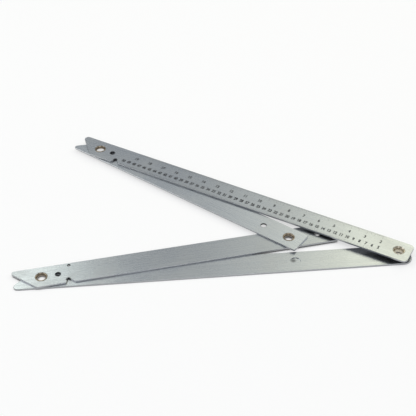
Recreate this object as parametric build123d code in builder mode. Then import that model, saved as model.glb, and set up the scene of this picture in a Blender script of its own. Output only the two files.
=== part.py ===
import math
import os

from build123d import *

os.makedirs("parts", exist_ok=True)

# Bars, in mm. All four are cut from the same flat strip.
bar_width = 40.0
bar_thickness = 2.5
layer_gap = 0.3
nominal_leg = 600.0
edge_break = 0.3

# How far the square is folded in the stored pose, in degrees.
corner_angle = 33.58

# Ends of the bars
leg_tip_round = 6.0
link_tip_round = 4.3
heel_reach = 18.5
graduated_heel_round = 7.0
plain_heel_round = 14.0
upper_link_tail = 23.0
lower_link_tail = 73.0
tail_round = 3.0

# Marking notch in the inner edge of each bar
notch_depth = 10.0
notch_back = 4.3

# Plain holes
hanging_hole_radius = 4.3
hanging_hole_from_pivot = 24.5
lock_hole_radius = 4.6
lock_hole_from_middle = 45.7
small_hole_radius = 2.0
small_hole_from_pivot = 42.0
small_hole_from_edge = 4.7
seat_radius = 8.0
seat_depth = 1.1

# Hollow rivets, their washers and the sleeve between the legs
rivet_bore_radius = 6.0
rivet_tube_radius = 7.2
rivet_flange_radius = 9.3
running_clearance = 0.05
washer_radius = 12.0
washer_thickness = 0.25
sleeve_radius = 11.0
sleeve_clearance = 0.05

# Worked out from the sizes above
half_width = bar_width / 2
sharp_tip = (1 + math.sqrt(2)) * half_width
leg_pivots = nominal_leg - half_width - sharp_tip
link_pivots = leg_pivots / math.sqrt(2)
half_angle = math.radians(corner_angle / 2)
link_angle = math.degrees(math.pi / 2 - half_angle - math.acos(math.sqrt(2) * math.sin(half_angle)))
layer_step = bar_thickness + layer_gap
z_plain = -(3 * layer_step + bar_thickness) / 2
z_lower = z_plain + layer_step
z_upper = z_plain + 2 * layer_step
z_graduated = z_plain + 3 * layer_step
z_top = z_graduated + bar_thickness
flange_depth = rivet_flange_radius - rivet_tube_radius


def heading(degrees):
    return (math.cos(math.radians(degrees)), math.sin(math.radians(degrees)))


def beyond(start, degrees, distance):
    x, y = heading(degrees)
    return (start[0] + distance * x, start[1] + distance * y)


corner = (0.0, 0.0)
upper_pivot = beyond(corner, 180 - corner_angle, leg_pivots)
lower_pivot = beyond(corner, 180, leg_pivots)
middle = beyond(lower_pivot, link_angle, link_pivots)


def bar_plane(start, degrees, height):
    x, y = heading(degrees)
    return Plane(origin=(start[0], start[1], height), x_dir=(x, y, 0), z_dir=(0, 0, 1))


# Outline of a bar along its own x axis, with its end pivot at zero and its outer edge on one side.
def bar_outline(length, side):
    notch_root = sharp_tip - notch_depth
    points = [
        (-sharp_tip + bar_width, -half_width),
        (-sharp_tip, half_width),
        (length, half_width),
        (length, -half_width),
        (sharp_tip, -half_width),
        (notch_root, -half_width + notch_depth),
        (notch_root - notch_back, -half_width),
    ]
    return [(x, side * y) for x, y in points]


def bar_blank(plane, length, tip_round, end_round, side, holes):
    with BuildSketch(plane) as face:
        with BuildLine():
            Polyline(*bar_outline(length, side), close=True)
        make_face()
        fillet(face.vertices().sort_by(Axis.X)[:1], tip_round)
        fillet(face.vertices().sort_by(Axis.X)[-2:], end_round)
        for x, y, radius in holes:
            with Locations((x, y)):
                Circle(radius, mode=Mode.SUBTRACT)
    extrude(face.sketch, amount=bar_thickness)


# A bar punched from strip has its outline broken on the upper face only.
def break_edges(bar):
    upper_face = bar.faces().filter_by(Axis.Z).sort_by(Axis.Z)[-1]
    chamfer(upper_face.outer_wire().edges(), edge_break)


# Takes away a cone that is widest at the upper or the lower face of a bar.
def dish(at, face_height, up, wide, narrow):
    depth = wide - narrow
    middle_height = face_height - depth / 2 if up else face_height + depth / 2
    with Locations((at[0], at[1], middle_height)):
        if up:
            Cone(narrow, wide, depth, mode=Mode.SUBTRACT)
        else:
            Cone(wide, narrow, depth, mode=Mode.SUBTRACT)


# A hollow rivet from one height to another, with a flared end at the bottom, at the top or at both.
def hollow_rivet(at, low, high, flare_low, flare_high):
    bore, tube, flange = rivet_bore_radius, rivet_tube_radius, rivet_flange_radius
    if flare_low:
        profile = [(bore, low), (flange, low), (tube, low + flange_depth)]
    else:
        profile = [(bore, low), (tube, low)]
    if flare_high:
        profile += [(tube, high - flange_depth), (flange, high), (bore, high)]
    else:
        profile += [(tube, high), (bore, high)]
    with BuildSketch(Plane(origin=(at[0], at[1], 0), x_dir=(1, 0, 0), z_dir=(0, -1, 0))) as face:
        with BuildLine():
            Polyline(*profile, close=True)
        make_face()
    revolve(face.sketch, axis=Axis((at[0], at[1], 0), (0, 0, 1)))


def ring(at, low, thickness, outer, inner):
    with BuildSketch(Plane.XY.offset(low)) as disc:
        with Locations(at):
            Circle(outer)
            Circle(inner, mode=Mode.SUBTRACT)
    extrude(disc.sketch, amount=thickness)


loose_bore = rivet_tube_radius + running_clearance
loose_flange = rivet_flange_radius + 2 * running_clearance
tight_bore = rivet_tube_radius
tight_flange = rivet_flange_radius
leg_length = leg_pivots + heel_reach

plain_plane = bar_plane(lower_pivot, 0, z_plain)
lower_plane = bar_plane(lower_pivot, link_angle, z_lower)
upper_plane = bar_plane(upper_pivot, -corner_angle - link_angle, z_upper)
graduated_plane = bar_plane(upper_pivot, -corner_angle, z_graduated)
small_hole_y = half_width - small_hole_from_edge

with BuildPart() as plain_leg:
    bar_blank(
        plain_plane, leg_length, leg_tip_round, plain_heel_round, -1,
        [(0, 0, tight_bore), (leg_pivots, 0, tight_bore), (hanging_hole_from_pivot, 0, hanging_hole_radius)],
    )
    break_edges(plain_leg)
    dish(corner, z_plain, False, tight_flange, tight_bore)
    dish(lower_pivot, z_plain, False, tight_flange, tight_bore)
    seat = plain_plane.from_local_coords(Vector(link_pivots, 0, bar_thickness - seat_depth / 2))
    with Locations(seat):
        Cylinder(seat_radius, seat_depth, mode=Mode.SUBTRACT)
plain_leg.part.label = "plain_leg"
export_step(plain_leg.part, "parts/plain_leg.step")

with BuildPart() as lower_link:
    bar_blank(
        lower_plane, link_pivots + lower_link_tail, link_tip_round, tail_round, 1,
        [
            (0, 0, loose_bore),
            (link_pivots, 0, tight_bore),
            (hanging_hole_from_pivot, 0, hanging_hole_radius),
            (link_pivots + lock_hole_from_middle, 0, lock_hole_radius),
            (small_hole_from_pivot, small_hole_y, small_hole_radius),
        ],
    )
    break_edges(lower_link)
    dish(lower_pivot, z_lower + bar_thickness, True, loose_flange, loose_bore)
    dish(middle, z_lower, False, tight_flange, tight_bore)
lower_link.part.label = "lower_link"
export_step(lower_link.part, "parts/lower_link.step")

with BuildPart() as upper_link:
    bar_blank(
        upper_plane, link_pivots + upper_link_tail, link_tip_round, tail_round, -1,
        [
            (0, 0, loose_bore),
            (link_pivots, 0, tight_bore),
            (hanging_hole_from_pivot, 0, hanging_hole_radius),
            (link_pivots - lock_hole_from_middle, 0, lock_hole_radius),
        ],
    )
    break_edges(upper_link)
    dish(upper_pivot, z_upper, False, loose_flange, loose_bore)
    dish(middle, z_upper + bar_thickness, True, tight_flange, tight_bore)
upper_link.part.label = "upper_link"
export_step(upper_link.part, "parts/upper_link.step")

with BuildPart() as graduated_leg:
    bar_blank(
        graduated_plane, leg_length, leg_tip_round, graduated_heel_round, 1,
        [(0, 0, tight_bore), (leg_pivots, 0, loose_bore), (hanging_hole_from_pivot, 0, hanging_hole_radius)],
    )
    break_edges(graduated_leg)
    dish(corner, z_top, True, loose_flange, loose_bore)
    dish(upper_pivot, z_top, True, tight_flange, tight_bore)
graduated_leg.part.label = "graduated_leg"
export_step(graduated_leg.part, "parts/graduated_leg.step")

with BuildPart() as corner_rivet:
    hollow_rivet(corner, z_plain, z_top, True, True)
corner_rivet.part.label = "corner_rivet"
export_step(corner_rivet.part, "parts/corner_rivet.step")

with BuildPart() as corner_sleeve:
    ring(
        corner, z_plain + bar_thickness, z_graduated - z_plain - bar_thickness - sleeve_clearance,
        sleeve_radius, rivet_tube_radius,
    )
corner_sleeve.part.label = "corner_sleeve"
export_step(corner_sleeve.part, "parts/corner_sleeve.step")

with BuildPart() as upper_rivet:
    hollow_rivet(upper_pivot, z_upper, z_top, True, True)
upper_rivet.part.label = "upper_rivet"
export_step(upper_rivet.part, "parts/upper_rivet.step")

with BuildPart() as upper_washer:
    ring(upper_pivot, z_graduated - washer_thickness, washer_thickness, washer_radius, rivet_tube_radius)
upper_washer.part.label = "upper_washer"
export_step(upper_washer.part, "parts/upper_washer.step")

with BuildPart() as lower_rivet:
    hollow_rivet(lower_pivot, z_plain, z_lower + bar_thickness, True, True)
lower_rivet.part.label = "lower_rivet"
export_step(lower_rivet.part, "parts/lower_rivet.step")

with BuildPart() as lower_washer:
    ring(lower_pivot, z_plain + bar_thickness, washer_thickness, washer_radius, rivet_tube_radius)
lower_washer.part.label = "lower_washer"
export_step(lower_washer.part, "parts/lower_washer.step")

with BuildPart() as middle_rivet_upper:
    hollow_rivet(middle, z_upper, z_upper + bar_thickness, False, True)
middle_rivet_upper.part.label = "middle_rivet_upper"
export_step(middle_rivet_upper.part, "parts/middle_rivet_upper.step")

with BuildPart() as middle_rivet_lower:
    hollow_rivet(middle, z_lower, z_lower + bar_thickness + washer_thickness, True, False)
middle_rivet_lower.part.label = "middle_rivet_lower"
export_step(middle_rivet_lower.part, "parts/middle_rivet_lower.step")

with BuildPart() as middle_washer:
    ring(middle, z_lower + bar_thickness, washer_thickness, washer_radius, rivet_tube_radius)
middle_washer.part.label = "middle_washer"
export_step(middle_washer.part, "parts/middle_washer.step")
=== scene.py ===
import math

import bpy
from mathutils import Matrix, Vector


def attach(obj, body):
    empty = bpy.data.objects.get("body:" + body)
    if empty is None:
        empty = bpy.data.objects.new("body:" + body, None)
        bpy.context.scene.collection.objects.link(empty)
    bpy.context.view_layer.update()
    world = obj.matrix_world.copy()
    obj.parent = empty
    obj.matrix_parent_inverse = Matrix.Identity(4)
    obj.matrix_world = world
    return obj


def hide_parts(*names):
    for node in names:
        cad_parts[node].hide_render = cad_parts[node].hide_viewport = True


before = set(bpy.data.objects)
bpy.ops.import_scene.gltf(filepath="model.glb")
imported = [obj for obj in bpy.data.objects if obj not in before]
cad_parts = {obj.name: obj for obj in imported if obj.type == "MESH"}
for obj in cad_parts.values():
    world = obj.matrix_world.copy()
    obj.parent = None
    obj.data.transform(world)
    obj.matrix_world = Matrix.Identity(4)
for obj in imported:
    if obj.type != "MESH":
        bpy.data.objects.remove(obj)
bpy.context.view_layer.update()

mm = 0.001

# The square as it lies, from the same sizes as the solids
square = {
    "legPivots": 531.7157 * mm,
    "linkPivots": 375.9798 * mm,
    "halfWidth": 20 * mm,
    "cornerAngle": 33.58,       # degrees between the legs
    "linkAngle": 7.3217,        # degrees between a link and its leg
    "barThickness": 2.5 * mm,
    "washerThickness": 0.25 * mm,
    "underside": -5.45 * mm,
    "layerStep": 2.8 * mm,
}


def pointFrom(start, degrees, distance):
    turn = math.radians(degrees)
    return (start[0] + distance * math.cos(turn), start[1] + distance * math.sin(turn))


cornerPivot = (0.0, 0.0)
upperPivot = pointFrom(cornerPivot, 180 - square["cornerAngle"], square["legPivots"])
lowerPivot = pointFrom(cornerPivot, 180, square["legPivots"])
middlePivot = pointFrom(lowerPivot, square["linkAngle"], square["linkPivots"])

# Painted shade: dark spots in the holes, the notches and the seat, placed along and across the bar
lockHoleAway = 45.7 * mm        # from the middle rivet
hangingHole = {
    "along": 24.5 * mm, "across": 0.0, "radius": 4.4 * mm, "fade": 0.6 * mm, "strength": 1.0,
}
smallHole = {
    "along": 42.0 * mm, "across": 15.3 * mm, "radius": 2.2 * mm, "fade": 0.7 * mm, "strength": 1.0,
}
nearLockHole = {
    **hangingHole, "along": square["linkPivots"] - lockHoleAway, "radius": 4.7 * mm,
}
farLockHole = {**nearLockHole, "along": square["linkPivots"] + lockHoleAway}
lowNotch = {
    "along": 38.3 * mm, "across": -13.5 * mm, "radius": 2.8 * mm, "fade": 1.8 * mm, "strength": 0.9,
}
highNotch = {**lowNotch, "across": -lowNotch["across"]}
seatShade = {
    "along": square["linkPivots"] - 3.0 * mm, "across": 2.5 * mm,
    "radius": 1.0 * mm, "fade": 5.0 * mm, "strength": 0.7,
}

# Each bar's end pivot and heading, its layer from below, how much lighter or darker its metal is
# painted as light and shade, and its spots of painted shade
bars = {
    "plain_leg": {
        "pivot": lowerPivot, "heading": 0.0, "layer": 0, "shade": 1.05,
        "paintedShade": [hangingHole, highNotch, seatShade],
    },
    "lower_link": {
        "pivot": lowerPivot, "heading": square["linkAngle"], "layer": 1, "shade": 1.0,
        "paintedShade": [hangingHole, lowNotch, smallHole, farLockHole],
    },
    "upper_link": {
        "pivot": upperPivot, "heading": -square["cornerAngle"] - square["linkAngle"],
        "layer": 2, "shade": 1.18, "paintedShade": [hangingHole, highNotch, nearLockHole],
    },
    "graduated_leg": {
        "pivot": upperPivot, "heading": -square["cornerAngle"], "layer": 3, "shade": 1.05,
        "paintedShade": [hangingHole, lowNotch],
    },
}


def layerTop(layer):
    return square["underside"] + layer * square["layerStep"] + square["barThickness"]


barTop = {name: layerTop(bar["layer"]) for name, bar in bars.items()}
barBase = {name: top - square["barThickness"] for name, top in barTop.items()}


# Shared helpers for modelling
def selectOnly(piece):
    bpy.ops.object.select_all(action="DESELECT")
    piece.select_set(True)
    bpy.context.view_layer.objects.active = piece


# Opens a piece in edit mode with only the vertices selected that pass the test
def editVertices(piece, test):
    selectOnly(piece)
    bpy.ops.object.mode_set(mode="EDIT")
    bpy.ops.mesh.select_mode(type="VERT")
    bpy.ops.mesh.select_all(action="DESELECT")
    bpy.ops.object.mode_set(mode="OBJECT")
    for vertex in piece.data.vertices:
        vertex.select = bool(test(vertex.co))
    bpy.ops.object.mode_set(mode="EDIT")


def applyModifiers(piece):
    selectOnly(piece)
    for modifier in list(piece.modifiers):
        bpy.ops.object.modifier_apply(modifier=modifier.name)


def settle(piece):
    selectOnly(piece)
    bpy.ops.object.transform_apply(location=True, rotation=True, scale=True)


mergeWithin = 0.002 * mm


def closeUp(piece):
    selectOnly(piece)
    bpy.ops.object.mode_set(mode="EDIT")
    bpy.ops.mesh.select_all(action="SELECT")
    bpy.ops.mesh.remove_doubles(threshold=mergeWithin)
    bpy.ops.mesh.normals_make_consistent(inside=False)
    bpy.ops.object.mode_set(mode="OBJECT")


def joinAs(name, parts):
    bpy.ops.object.select_all(action="DESELECT")
    for part in parts:
        part.select_set(True)
    bpy.context.view_layer.objects.active = parts[0]
    bpy.ops.object.join()
    whole = bpy.context.object
    whole.name = name
    whole.data.name = name
    return whole


# Camera at the photograph's angle
cameraView = {
    "target": (-0.27435, 0.1354, -0.00473),
    "azimuth": -5.07,
    "elevation": 40.73,
    "roll": -0.28,
    "distance": 1.532,
    "lens": 83.41,
    "sensor": 36,
    "nearest": 0.05,
    "farthest": 30,
}


def addCamera(view):
    azimuth, elevation = math.radians(view["azimuth"]), math.radians(view["elevation"])
    back = Vector((
        math.sin(azimuth) * math.cos(elevation),
        -math.cos(azimuth) * math.cos(elevation),
        math.sin(elevation),
    ))
    place = Vector(view["target"]) + back * view["distance"]
    level = (-back).to_track_quat("-Z", "Y").to_matrix()
    turn = level @ Matrix.Rotation(math.radians(view["roll"]), 3, "Z")
    bpy.ops.object.camera_add(location=place, rotation=turn.to_euler())
    camera = bpy.context.object
    camera.name = "photoCamera"
    camera.data.lens = view["lens"]
    camera.data.sensor_width = view["sensor"]
    camera.data.clip_start = view["nearest"]
    camera.data.clip_end = view["farthest"]
    bpy.context.scene.camera = camera


addCamera(cameraView)
print("camera placed")


# Node helpers. A group has a Vector, plain values that a material can change, and its masks.
def newGroup(name, values, masks):
    group = bpy.data.node_groups.new(name, "ShaderNodeTree")
    group.interface.new_socket(name="Vector", in_out="INPUT", socket_type="NodeSocketVector")
    for label, value in values.items():
        socket = group.interface.new_socket(
            name=label, in_out="INPUT", socket_type="NodeSocketFloat")
        socket.default_value = value
    for label in masks:
        group.interface.new_socket(name=label, in_out="OUTPUT", socket_type="NodeSocketFloat")
    return group, group.nodes.new("NodeGroupInput"), group.nodes.new("NodeGroupOutput")


def addNode(tree, kind, **settings):
    node = tree.nodes.new(kind)
    for key, value in settings.items():
        setattr(node, key, value)
    return node


# Gives a socket a number or a colour, or links it
def feed(tree, socket, value):
    if isinstance(value, (int, float)):
        socket.default_value = value
    elif isinstance(value, tuple):
        socket.default_value = (*value, 1)
    else:
        tree.links.new(value, socket)


def maths(tree, operation, first, second=None, clamp=False):
    node = addNode(tree, "ShaderNodeMath", operation=operation, use_clamp=clamp)
    feed(tree, node.inputs[0], first)
    if second is not None:
        feed(tree, node.inputs[1], second)
    return node.outputs[0]


def remap(tree, value, low, high, newLow, newHigh, smooth=False):
    curve = "SMOOTHSTEP" if smooth else "LINEAR"
    node = addNode(tree, "ShaderNodeMapRange", interpolation_type=curve)
    for slot, setting in enumerate((value, low, high, newLow, newHigh)):
        feed(tree, node.inputs[slot], setting)
    return node.outputs[0]


def blendColours(tree, factor, first, second, mode="MIX"):
    node = addNode(tree, "ShaderNodeMix", data_type="RGBA", blend_type=mode)
    feed(tree, node.inputs[0], factor)
    feed(tree, node.inputs[6], first)
    feed(tree, node.inputs[7], second)
    return node.outputs[2]


def splitVector(tree, vector):
    node = addNode(tree, "ShaderNodeSeparateXYZ")
    tree.links.new(vector, node.inputs[0])
    return node.outputs


# The vector at a size, so that a texture of scale 1 repeats about once in it
def sizedVector(tree, vector, size):
    node = addNode(tree, "ShaderNodeVectorMath", operation="SCALE")
    tree.links.new(vector, node.inputs[0])
    tree.links.new(maths(tree, "DIVIDE", 1.0, size), node.inputs["Scale"])
    return node.outputs[0]


def addNoise(tree, vector, scale, detail, roughness=0.5):
    node = addNode(tree, "ShaderNodeTexNoise")
    node.inputs["Scale"].default_value = scale
    node.inputs["Detail"].default_value = detail
    node.inputs["Roughness"].default_value = roughness
    tree.links.new(vector, node.inputs["Vector"])
    return node.outputs["Fac"]


# Rolled and satin-finished metal: fine streaks along x of the vector it is given
grainPattern = {
    "streakDetail": 3,
    "bandScale": 0.16,          # the bands are the same streaks, this much coarser
    "bandDetail": 2,
    "contrast": (0.3, 0.7),     # noise between these two fills the whole range
}


def makeGrainGroup(pattern):
    group, start, end = newGroup(
        "satinGrain", {"Line Width": 0.6 * mm, "Line Length": 60 * mm}, ["Grain", "Bands"])
    place = splitVector(group, start.outputs["Vector"])
    stretched = addNode(group, "ShaderNodeCombineXYZ")
    for axis, label in enumerate(("Line Length", "Line Width", "Line Width")):
        sized = maths(group, "DIVIDE", place[axis], start.outputs[label])
        group.links.new(sized, stretched.inputs[axis])
    streaks = addNoise(group, stretched.outputs[0], 1, pattern["streakDetail"])
    bands = addNoise(group, stretched.outputs[0], pattern["bandScale"], pattern["bandDetail"])
    for noise, label in ((streaks, "Grain"), (bands, "Bands")):
        group.links.new(remap(group, noise, *pattern["contrast"], 0, 1), end.inputs[label])
    return group


# Handling: cloudy finger marks and a few thin scratches
handlingPattern = {
    "cloudDetail": 5,
    "cloudRoughness": 0.6,
    "smudged": (0.42, 0.68),    # the clouds fade in between these
    "scratched": (0.5, 0.62),
    "scratchWidth": 0.012,      # as a share of their spacing
    "scratches": ((0.35, 9.0), (-0.6, 12.0), (1.35, 10.0)),     # turn in radians, and stretch
}


def makeHandlingGroup(pattern):
    group, start, end = newGroup(
        "handling", {"Cloud Size": 50 * mm, "Scratch Spacing": 30 * mm}, ["Smudge", "Scratch"])
    clouds = addNoise(
        group, sizedVector(group, start.outputs["Vector"], start.outputs["Cloud Size"]),
        1, pattern["cloudDetail"], pattern["cloudRoughness"])
    smudges = remap(group, clouds, *pattern["smudged"], 0, 1, smooth=True)
    group.links.new(smudges, end.inputs["Smudge"])

    lines = None
    for turn, stretch in pattern["scratches"]:
        tilted = addNode(group, "ShaderNodeMapping")
        tilted.inputs["Rotation"].default_value = (0, 0, turn)
        tilted.inputs["Scale"].default_value = (1, stretch, 1)
        group.links.new(start.outputs["Vector"], tilted.inputs[0])
        spaced = sizedVector(group, tilted.outputs[0], start.outputs["Scratch Spacing"])
        cells = addNode(group, "ShaderNodeTexVoronoi", feature="DISTANCE_TO_EDGE")
        cells.inputs["Scale"].default_value = 1
        cells.inputs["Randomness"].default_value = 1
        group.links.new(spaced, cells.inputs["Vector"])
        thin = remap(group, cells.outputs["Distance"], 0.0, pattern["scratchWidth"], 1, 0)
        lines = thin if lines is None else maths(group, "MAXIMUM", lines, thin)
    patches = remap(group, clouds, *pattern["scratched"], 0, 1)
    group.links.new(maths(group, "MULTIPLY", lines, patches), end.inputs["Scratch"])
    return group


# Darker handled band along the two long edges of a bar, and masks for the faces left by the punch,
# which get a darker sheared finish that also paints in their shade, and for the side turned down,
# painted dark as shade
edgePattern = {
    "raggedScale": 130,         # the noise that breaks the band up
    "raggedDetail": 4,
    "ragged": (0.35, 0.65),
    "leastRub": 0.1,
    "lying": (0.72, 0.95),      # how far a normal points up or down before a face lies flat
}


def makeEdgeGroup(pattern):
    group, start, end = newGroup(
        "edgeRubAndShade", {"Half Width": 20 * mm, "Rub Width": 1.2 * mm},
        ["Rub", "Cut Face", "Underside"])
    across = maths(group, "ABSOLUTE", splitVector(group, start.outputs["Vector"])[1])
    fromEdge = maths(group, "SUBTRACT", start.outputs["Half Width"], across)
    widths = maths(group, "DIVIDE", fromEdge, start.outputs["Rub Width"])
    near = maths(group, "SUBTRACT", 1.0, widths, clamp=True)
    ragged = addNoise(
        group, start.outputs["Vector"], pattern["raggedScale"], pattern["raggedDetail"])
    patchy = remap(group, ragged, *pattern["ragged"], pattern["leastRub"], 1)
    group.links.new(maths(group, "MULTIPLY", near, patchy, clamp=True), end.inputs["Rub"])

    normal = addNode(group, "ShaderNodeNewGeometry").outputs["Normal"]
    upward = splitVector(group, normal)[2]
    low, high = pattern["lying"]
    cutFace = remap(group, maths(group, "ABSOLUTE", upward), low, high, 1, 0)
    group.links.new(cutFace, end.inputs["Cut Face"])
    group.links.new(remap(group, upward, -high, -low, 1, 0), end.inputs["Underside"])
    return group


# A round spot of painted shade, at a place along and across the bar
def makeGrimeGroup():
    group, start, end = newGroup(
        "paintedShadeSpot",
        {"Along": 0.0, "Across": 0.0, "Radius": 4 * mm, "Fade": 0.6 * mm, "Strength": 1.0},
        ["Grime"])
    place = splitVector(group, start.outputs["Vector"])
    along = maths(group, "SUBTRACT", place[0], start.outputs["Along"])
    across = maths(group, "SUBTRACT", place[1], start.outputs["Across"])
    squares = [maths(group, "MULTIPLY", part, part) for part in (along, across)]
    away = maths(group, "SQRT", maths(group, "ADD", *squares))
    reach = maths(group, "ADD", start.outputs["Radius"], start.outputs["Fade"])
    spot = remap(group, away, start.outputs["Radius"], reach, 1, 0, smooth=True)
    group.links.new(maths(group, "MULTIPLY", spot, start.outputs["Strength"]), end.inputs["Grime"])
    return group


satinGrain = makeGrainGroup(grainPattern)
handling = makeHandlingGroup(handlingPattern)
edgeRubAndShade = makeEdgeGroup(edgePattern)
paintedShadeSpot = makeGrimeGroup()


def startMaterial(name):
    material = bpy.data.materials.new(name)
    material.use_nodes = True
    tree = material.node_tree
    return material, tree, tree.nodes["Principled BSDF"]


def placeGroup(tree, group, vector, values):
    node = addNode(tree, "ShaderNodeGroup", node_tree=group)
    tree.links.new(vector, node.inputs["Vector"])
    for label, value in values.items():
        node.inputs[label].default_value = value
    return node.outputs


def objectVector(tree):
    return addNode(tree, "ShaderNodeTexCoord").outputs["Object"]


# Object coordinates with a bar's end pivot at zero and its length along x
def barVector(tree, bar):
    turned = addNode(tree, "ShaderNodeMapping", vector_type="TEXTURE")
    turned.inputs["Location"].default_value = (*bar["pivot"], 0)
    turned.inputs["Rotation"].default_value = (0, 0, math.radians(bar["heading"]))
    tree.links.new(objectVector(tree), turned.inputs["Vector"])
    return turned.outputs[0]


def addBump(tree, surface, height, settings):
    bump = addNode(tree, "ShaderNodeBump")
    bump.inputs["Strength"].default_value = settings["bump"]
    bump.inputs["Distance"].default_value = settings["bumpHeight"]
    tree.links.new(height, bump.inputs["Height"])
    tree.links.new(bump.outputs[0], surface.inputs["Normal"])


barMetal = {
    "colour": (0.50, 0.525, 0.55),
    "bandColour": (0.455, 0.485, 0.515),
    "smudgeColour": (0.44, 0.455, 0.46),
    "rubColour": (0.33, 0.335, 0.345),
    "scratchColour": (0.70, 0.71, 0.71),
    # the punched faces get a darker sheared finish, which also paints in the shade they show
    "cutFinishAndShade": (0.38, 0.39, 0.405),
    # the side turned down is painted dark, a painted shade under each bar
    "paintedUndersideShade": (0.18, 0.185, 0.195),
    # painted shade for the holes, the notches and the seat
    "paintedSpotShade": (0.06, 0.06, 0.065),
    "smudge": 0.35,             # how strongly each mark shows
    "rub": 0.6,
    "scratch": 0.4,
    "grainWidth": 0.45 * mm,
    "grainLength": 70 * mm,
    "cloudSize": 60 * mm,
    "scratchSpacing": 45 * mm,
    "rubWidth": 0.9 * mm,
    "roughness": (0.22, 0.31),
    "smudgeRoughness": 0.05,
    "cutRoughness": 0.28,
    "bump": 0.06,
    "bumpHeight": 0.05 * mm,
}


def makeBarMetal(name, bar, settings):
    material, tree, surface = startMaterial(name)
    local = barVector(tree, bar)
    grain = placeGroup(tree, satinGrain, local, {
        "Line Width": settings["grainWidth"], "Line Length": settings["grainLength"]})
    marks = placeGroup(tree, handling, local, {
        "Cloud Size": settings["cloudSize"], "Scratch Spacing": settings["scratchSpacing"]})
    edges = placeGroup(tree, edgeRubAndShade, local, {
        "Half Width": square["halfWidth"], "Rub Width": settings["rubWidth"]})

    colour = blendColours(tree, grain["Bands"], settings["colour"], settings["bandColour"])
    masks = {"smudge": marks["Smudge"], "rub": edges["Rub"], "scratch": marks["Scratch"]}
    for kind, mask in masks.items():
        strength = maths(tree, "MULTIPLY", mask, settings[kind])
        colour = blendColours(tree, strength, colour, settings[kind + "Colour"])
    # each bar's metal is made lighter or darker by its own factor: painted light and shade on
    # copies of one metal
    colour = blendColours(tree, 1.0, colour, (bar["shade"],) * 3, "MULTIPLY")
    # cut faces: darker sheared finish and painted shade
    colour = blendColours(tree, edges["Cut Face"], colour, settings["cutFinishAndShade"])
    # the underside is painted dark as shade
    colour = blendColours(tree, edges["Underside"], colour, settings["paintedUndersideShade"])
    # spots of painted shade darken the holes, the notches and the seat
    for spot in bar["paintedShade"]:
        values = {label.capitalize(): value for label, value in spot.items()}
        paintedShade = placeGroup(tree, paintedShadeSpot, local, values)
        colour = blendColours(tree, paintedShade["Grime"], colour, settings["paintedSpotShade"])
    tree.links.new(colour, surface.inputs["Base Color"])

    rough = remap(tree, grain["Grain"], 0, 1, *settings["roughness"])
    greasy = maths(tree, "MULTIPLY", marks["Smudge"], settings["smudgeRoughness"])
    rough = maths(tree, "ADD", rough, greasy)
    rough = remap(tree, edges["Cut Face"], 0, 1, rough, settings["cutRoughness"])
    tree.links.new(rough, surface.inputs["Roughness"])
    surface.inputs["Metallic"].default_value = 1
    addBump(tree, surface, maths(tree, "SUBTRACT", grain["Grain"], marks["Scratch"]), settings)
    return material


# The rivets, the washers and the sleeve have the same marks on metals of their own
smallMarks = {
    "cloudSize": 5 * mm, "scratchSpacing": 6 * mm, "smudge": 0.7,
    "bump": 0.1, "bumpHeight": 0.1 * mm,
}
rivetBrass = {
    **smallMarks, "colour": (0.30, 0.25, 0.19), "smudgeColour": (0.11, 0.09, 0.07),
    "roughness": (0.20, 0.38),
}
# the corner rivet's brass is painted lighter, a painted highlight for how brightly it is lit
paintedHighlightBrass = {
    **smallMarks, "colour": (0.66, 0.61, 0.50), "smudgeColour": (0.22, 0.19, 0.14),
    "roughness": (0.22, 0.36),
}
washerSteel = {
    **smallMarks, "colour": (0.34, 0.34, 0.34), "smudgeColour": (0.16, 0.15, 0.14),
    "roughness": (0.35, 0.55),
}
scaleInk = {
    "colour": (0.012, 0.013, 0.016), "smudgeColour": (0.09, 0.095, 0.1),
    "roughness": (0.35, 0.6), "cloudSize": 12 * mm, "scratchSpacing": 20 * mm, "smudge": 0.5,
}


# Colour and roughness change with the smudges. Metal has a bump as well, ink has none.
def makeSmudged(name, settings):
    material, tree, surface = startMaterial(name)
    marks = placeGroup(tree, handling, objectVector(tree), {
        "Cloud Size": settings["cloudSize"], "Scratch Spacing": settings["scratchSpacing"]})
    strength = maths(tree, "MULTIPLY", marks["Smudge"], settings["smudge"])
    colour = blendColours(tree, strength, settings["colour"], settings["smudgeColour"])
    tree.links.new(colour, surface.inputs["Base Color"])
    rough = remap(tree, marks["Smudge"], 0, 1, *settings["roughness"])
    tree.links.new(rough, surface.inputs["Roughness"])
    if "bump" in settings:
        surface.inputs["Metallic"].default_value = 1
        addBump(tree, surface, marks["Smudge"], settings)
    return material


def dress(piece, material):
    piece.data.materials.clear()
    piece.data.materials.append(material)


for barName, bar in bars.items():
    dress(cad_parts[barName], makeBarMetal("satinAluminium_" + barName, bar, barMetal))
brass = makeSmudged("agedBrass", rivetBrass)
paleBrass = makeSmudged("paintedHighlightBrass", paintedHighlightBrass)
steel = makeSmudged("dullSteel", washerSteel)
ink = makeSmudged("blackScaleInk", scaleInk)
for nodeName in ("corner_sleeve", "upper_washer", "lower_washer", "middle_washer"):
    dress(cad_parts[nodeName], steel)
print("materials made")


# Hollow rivets: one ring of edges, drawn out along the profile by extrusion and scaling
rivetShape = {
    "bore": 6.0 * mm,
    "tube": 7.2 * mm,
    "flange": 9.3 * mm,
    "segments": 72,
    # how far a rolled edge stands proud: in the open, over the next bar, and on the floor
    "roll": {"open": 0.45 * mm, "covered": 0.15 * mm, "floor": 0.0},
    "mouth": {"width": 1.1 * mm, "depth": 2.2 * mm},
    "wideMouth": {"width": 1.6 * mm, "depth": 2.5 * mm},
    "throat": (0.4, 0.55),      # the mouth's bend, as shares of its width and depth
    "lip": 0.2 * mm,            # below the bar's face, where the mouth meets the rolled edge
    # points on the rolled edge: out from the lip or in from the flange, and share of the roll
    "inside": (0.4 * mm, 0.85),
    "crest": (1.2 * mm, 1.0),
    "shoulder": (0.6 * mm, 0.7),
    "rim": (0.0, 0.05),
    "undercut": (0.25 * mm, 0.3 * mm),      # in from the flange, and below the bar's face
}


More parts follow.
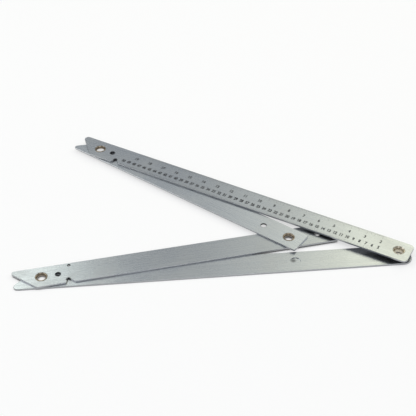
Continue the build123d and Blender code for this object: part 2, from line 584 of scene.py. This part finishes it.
# An end is flared where it has a kind of roll, and plain where it has none
def rivetEnd(height, side, kind, mouth):
    bore, tube, flange = rivetShape["bore"], rivetShape["tube"], rivetShape["flange"]
    if kind is None:
        return [(bore, height), (tube, height)]
    roll = rivetShape["roll"][kind]
    lip = bore + mouth["width"]
    bendOut, bendDown = rivetShape["throat"]
    insideOut, insideShare = rivetShape["inside"]
    backIn, backDown = rivetShape["undercut"]
    rolledEdge = [
        (flange - inward, height + side * roll * share)
        for inward, share in (rivetShape["crest"], rivetShape["shoulder"], rivetShape["rim"])
    ]
    return [
        (bore, height - side * mouth["depth"]),
        (bore + mouth["width"] * bendOut, height - side * mouth["depth"] * bendDown),
        (lip, height - side * rivetShape["lip"]),
        (lip + insideOut, height + side * roll * insideShare),
        *rolledEdge,
        (flange - backIn, height - side * backDown),
        (tube, height - side * (flange - tube)),
    ]


def addRivet(name, settings):
    node, body, centre = settings["node"], settings["body"], settings["centre"]
    top = rivetEnd(settings["high"], 1, settings["topEnd"], settings["mouth"])
    base = rivetEnd(settings["low"], -1, settings["baseEnd"], settings["mouth"])
    profile = top + base[::-1]
    radius, height = profile[0]
    bpy.ops.object.select_all(action="DESELECT")
    bpy.ops.mesh.primitive_circle_add(
        vertices=rivetShape["segments"], radius=radius, fill_type="NOTHING",
        location=(*centre, height))
    ring = bpy.context.object
    ring.name = name
    bpy.ops.object.mode_set(mode="EDIT")
    bpy.ops.mesh.select_mode(type="EDGE")
    bpy.ops.mesh.select_all(action="SELECT")
    for newRadius, newHeight in profile[1:]:
        rise = (0, 0, newHeight - height)
        bpy.ops.mesh.extrude_edges_move(TRANSFORM_OT_translate={"value": rise})
        if newRadius != radius:
            grow = newRadius / radius
            bpy.ops.transform.resize(
                value=(grow, grow, 1), center_override=(*centre, newHeight))
        radius, height = newRadius, newHeight
    bpy.ops.object.mode_set(mode="OBJECT")
    settle(ring)

    # close the wall between the last ring of edges and the first
    within = 0.01 * mm

    def atEnd(point):
        away = math.hypot(point.x - centre[0], point.y - centre[1])
        return any(
            abs(away - endRadius) < within and abs(point.z - endHeight) < within
            for endRadius, endHeight in (profile[0], profile[-1]))

    editVertices(ring, atEnd)
    bpy.ops.mesh.select_mode(type="EDGE")
    bpy.ops.mesh.bridge_edge_loops()
    bpy.ops.object.mode_set(mode="OBJECT")
    closeUp(ring)
    soften = ring.modifiers.new("soften", "SUBSURF")
    soften.levels = soften.render_levels = 1
    applyModifiers(ring)
    bpy.ops.object.shade_smooth()
    dress(ring, settings["finish"])
    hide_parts(node)
    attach(ring, body)


rivets = {
    "cornerRivet": {
        "node": "corner_rivet", "body": "plain_leg", "centre": cornerPivot,
        "low": barBase["plain_leg"], "high": barTop["graduated_leg"],
        "baseEnd": "floor", "topEnd": "open", "mouth": rivetShape["wideMouth"], "finish": paleBrass,
    },
    "upperRivet": {
        "node": "upper_rivet", "body": "graduated_leg", "centre": upperPivot,
        "low": barBase["upper_link"], "high": barTop["graduated_leg"],
        "baseEnd": "covered", "topEnd": "open", "mouth": rivetShape["mouth"], "finish": brass,
    },
    "lowerRivet": {
        "node": "lower_rivet", "body": "plain_leg", "centre": lowerPivot,
        "low": barBase["plain_leg"], "high": barTop["lower_link"],
        "baseEnd": "floor", "topEnd": "covered", "mouth": rivetShape["mouth"], "finish": brass,
    },
    "middleRivetTop": {
        "node": "middle_rivet_upper", "body": "upper_link", "centre": middlePivot,
        "low": barBase["upper_link"], "high": barTop["upper_link"],
        "baseEnd": None, "topEnd": "covered", "mouth": rivetShape["mouth"], "finish": brass,
    },
    "middleRivetBase": {
        "node": "middle_rivet_lower", "body": "lower_link", "centre": middlePivot,
        "low": barBase["lower_link"], "high": barTop["lower_link"] + square["washerThickness"],
        "baseEnd": "covered", "topEnd": None, "mouth": rivetShape["mouth"], "finish": brass,
    },
}
for rivetName, rivetSettings in rivets.items():
    addRivet(rivetName, rivetSettings)
print("rivets made")


# Printing on the graduated leg. Local x runs from the upper rivet to the corner.
printing = {
    "thickness": 0.03 * mm,
    "sunk": 0.01 * mm,
    "zeroPastCorner": 20 * mm,      # both scales count from the outer end
    "labelShift": 0.5 * mm,
    "capHeight": 0.73,              # of a figure in Blender's own font at size 1
    "curveSteps": 3,
    "lineEnd": 0.45,                # rounding of a line's inner end, as a share of its width
}
centimetreRow = {
    "first": 5, "last": 50, "pitch": 10 * mm,
    "middle": -9.0 * mm, "height": 6.2 * mm, "narrow": 0.74, "bold": 0.05,
}
inchRow = {
    "first": 2, "last": 19, "pitch": 25.4 * mm,
    "middle": 4.5 * mm, "height": 6.0 * mm, "narrow": 0.80, "bold": 0.045,
}


def scaleX(value):
    return square["legPivots"] + printing["zeroPastCorner"] - value


def onLeg(piece):
    bar = bars["graduated_leg"]
    settle(piece)
    piece.location = (*bar["pivot"], barTop["graduated_leg"] - printing["sunk"])
    piece.rotation_euler = (0, 0, math.radians(bar["heading"]))
    settle(piece)
    dress(piece, ink)
    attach(piece, "graduated_leg")


def addNumbers(name, row):
    figures = []
    size = row["height"] / printing["capHeight"]
    lift = printing["thickness"] / 2
    for number in range(row["first"], row["last"] + 1):
        bpy.ops.object.select_all(action="DESELECT")
        bpy.ops.object.text_add()
        text = bpy.context.object
        text.data.body = str(number)
        text.data.size = size
        text.data.align_x = "CENTER"
        text.data.align_y = "CENTER"
        text.data.offset = row["bold"] * size
        text.data.resolution_u = printing["curveSteps"]
        text.data.extrude = lift
        bpy.ops.object.convert(target="MESH")
        figure = bpy.context.object
        figure.scale = (row["narrow"], 1, 1)
        x = scaleX(number * row["pitch"]) + printing["labelShift"]
        figure.location = (x, row["middle"], lift)
        settle(figure)
        closeUp(figure)
        figures.append(figure)
    onLeg(joinAs(name, figures))


addNumbers("centimetreNumbers", centimetreRow)
addNumbers("inchNumbers", inchRow)
print("numbers made")

# Graduation lines: one block of lines is modelled and repeated along the edge
millimetreLines = {
    "edge": -19.4 * mm, "side": 1, "step": 1 * mm, "width": 0.16 * mm,
    "lengths": [4.6, 1.6, 1.6, 1.6, 1.6, 3.0, 1.6, 1.6, 1.6, 1.6],
    "from": 50 * mm, "blocks": 45,
}
inchLines = {
    "edge": 19.4 * mm, "side": -1, "step": 25.4 / 16 * mm, "width": 0.22 * mm,
    "lengths": [7.5, 3.0, 3.6, 3.0, 4.6, 3.0, 3.6, 3.0, 7.5, 3.0, 3.6, 3.0, 4.6, 3.0, 3.6, 3.0],
    "from": 50.8 * mm, "blocks": 17,
}


def addLine(x, length, lines):
    middle = lines["edge"] + lines["side"] * length / 2
    bpy.ops.object.select_all(action="DESELECT")
    bpy.ops.mesh.primitive_plane_add(size=1, location=(x, middle, 0))
    line = bpy.context.object
    line.scale = (lines["width"], length, 1)
    settle(line)
    # round the inner end, then give the line its thickness
    editVertices(line, lambda point: (point.y - middle) * lines["side"] > 0)
    bpy.ops.mesh.bevel(
        offset=lines["width"] * printing["lineEnd"], segments=2, affect="VERTICES")
    bpy.ops.mesh.select_all(action="SELECT")
    bpy.ops.mesh.extrude_region_move(
        TRANSFORM_OT_translate={"value": (0, 0, printing["thickness"])})
    bpy.ops.object.mode_set(mode="OBJECT")
    closeUp(line)
    return line


def addLines(name, lines):
    count = len(lines["lengths"])
    block = [
        addLine(-index * lines["step"], length * mm, lines)
        for index, length in enumerate(lines["lengths"])
    ]
    strip = joinAs(name, block)
    settle(strip)
    repeat = strip.modifiers.new("repeat", "ARRAY")
    repeat.use_relative_offset = False
    repeat.use_constant_offset = True
    repeat.constant_offset_displace = (-count * lines["step"], 0, 0)
    repeat.count = lines["blocks"]
    applyModifiers(strip)
    lastX = -lines["blocks"] * count * lines["step"]
    lastLine = addLine(lastX, lines["lengths"][0] * mm, lines)
    strip = joinAs(name, [strip, lastLine])
    settle(strip)
    strip.location = (scaleX(lines["from"]), 0, 0)
    onLeg(strip)


addLines("millimetreLines", millimetreLines)
addLines("inchLines", inchLines)
print("graduation lines made")


# Floor, lamps and world
floorSettings = {
    "size": 30.0,
    "middle": (-0.25, 0.15),
    "gap": 0.02 * mm,               # under the square
    "colour": (0.94, 0.94, 0.94),
    "roughness": 0.9,
    "glow": 0.6,
    # painted shade on the floor: how dark its colour is painted close under the bars and inside the
    # holes, how far out that goes, and between which shares of open sky above it the colour and the
    # glow come in
    "shaded": 0.35,
    "shadeReach": 5 * mm,
    "shadeSamples": 8,
    "colourFrom": (0.5, 0.66),
    "glowFrom": (0.6, 0.8),
}


def addFloor(settings):
    height = square["underside"] - settings["gap"]
    bpy.ops.object.select_all(action="DESELECT")
    bpy.ops.mesh.primitive_plane_add(size=settings["size"], location=(*settings["middle"], height))
    floor = bpy.context.object
    floor.name = "paleFloor"
    settle(floor)
    material, tree, surface = startMaterial("paleFloor")
    surface.inputs["Roughness"].default_value = settings["roughness"]
    surface.inputs["Specular IOR Level"].default_value = 0
    shade = addNode(tree, "ShaderNodeAmbientOcclusion", samples=settings["shadeSamples"])
    shade.inputs["Distance"].default_value = settings["shadeReach"]
    openSky = shade.outputs["AO"]
    # painted shade: the floor's colour is darkened where the bars and the holes enclose it
    shaded = tuple(channel * settings["shaded"] for channel in settings["colour"])
    colour = blendColours(
        tree, remap(tree, openSky, *settings["colourFrom"], 0, 1), shaded, settings["colour"])
    tree.links.new(colour, surface.inputs["Base Color"])

    # what the camera sees glows in the open, and metal shows the open floor
    glow = addNode(tree, "ShaderNodeEmission")
    glow.inputs["Color"].default_value = (1, 1, 1, 1)
    rays = addNode(tree, "ShaderNodeLightPath").outputs
    seen = maths(tree, "MAXIMUM", rays["Is Camera Ray"], rays["Is Transmission Ray"])
    openGlow = remap(tree, openSky, *settings["glowFrom"], 0, settings["glow"])
    seenGlow = maths(tree, "MULTIPLY", seen, openGlow)
    mirrored = maths(tree, "MULTIPLY", rays["Is Glossy Ray"], settings["glow"])
    mix = addNode(tree, "ShaderNodeMixShader")
    tree.links.new(maths(tree, "MAXIMUM", seenGlow, mirrored), mix.inputs[0])
    tree.links.new(surface.outputs[0], mix.inputs[1])
    tree.links.new(glow.outputs[0], mix.inputs[2])
    tree.links.new(mix.outputs[0], tree.nodes["Material Output"].inputs["Surface"])
    dress(floor, material)


# Azimuth is counted from straight behind the square, to the right
lampAim = (-0.25, 0.12, 0)
lamps = {
    "backRight": {
        "azimuth": 40, "elevation": 42, "distance": 2.2, "size": 1.1,
        "power": 3.7, "colour": (1.0, 0.97, 0.66),
    },
    "backMiddle": {
        "azimuth": 23, "elevation": 42, "distance": 2.2, "size": 1.0,
        "power": 1.1, "colour": (1.0, 0.99, 0.82),
    },
    "backLeft": {
        "azimuth": -25, "elevation": 47, "distance": 2.2, "size": 0.5,
        "power": 1.8, "colour": (0.96, 1.0, 0.89),
    },
    "left": {
        "azimuth": -83, "elevation": 40, "distance": 4, "size": 2.0,
        "power": 42, "colour": (1.0, 1.0, 0.98),
    },
    "right": {
        "azimuth": 80, "elevation": 40, "distance": 4, "size": 2.0,
        "power": 20, "colour": (1.0, 1.0, 0.98),
    },
    "front": {
        "azimuth": 172, "elevation": 36, "distance": 4, "size": 1.6,
        "power": 12, "colour": (1.0, 1.0, 1.0),
    },
    "overhead": {
        "azimuth": 180, "elevation": 80, "distance": 3, "size": 2.0,
        "power": 16, "colour": (1.0, 1.0, 1.0),
    },
}


def addLamp(name, settings):
    azimuth, elevation = math.radians(settings["azimuth"]), math.radians(settings["elevation"])
    away = Vector((
        math.sin(azimuth) * math.cos(elevation),
        math.cos(azimuth) * math.cos(elevation),
        math.sin(elevation),
    ))
    place = Vector(lampAim) + away * settings["distance"]
    turn = (-away).to_track_quat("-Z", "Y").to_euler()
    bpy.ops.object.light_add(type="AREA", location=place, rotation=turn)
    lamp = bpy.context.object
    lamp.name = name
    lamp.data.shape = "SQUARE"
    lamp.data.size = settings["size"]
    lamp.data.energy = settings["power"]
    lamp.data.color = settings["colour"]


# Grey of the world by height, from the horizon to straight above
worldSettings = {
    "steps": [(0.25, (0.44, 0.45, 0.46)), (0.62, (0.45, 0.465, 0.485)), (1.0, (0.50, 0.51, 0.52))],
    "strength": 1.0,
}


def setWorld(settings):
    world = bpy.data.worlds.new("studio")
    world.use_nodes = True
    bpy.context.scene.world = world
    tree = world.node_tree
    upward = splitVector(tree, addNode(tree, "ShaderNodeTexCoord").outputs["Generated"])[2]
    ramp = addNode(tree, "ShaderNodeValToRGB")
    steps = settings["steps"]
    while len(ramp.color_ramp.elements) < len(steps):
        ramp.color_ramp.elements.new(0.5)
    for element, (position, colour) in zip(ramp.color_ramp.elements, steps):
        element.position = position
        element.color = (*colour, 1)
    background = tree.nodes["Background"]
    tree.links.new(upward, ramp.inputs[0])
    tree.links.new(ramp.outputs[0], background.inputs["Color"])
    background.inputs["Strength"].default_value = settings["strength"]


addFloor(floorSettings)
for lampName, lampSettings in lamps.items():
    addLamp(lampName, lampSettings)
setWorld(worldSettings)
bpy.context.scene.view_settings.view_transform = "Standard"
print("floor, lamps and world set")
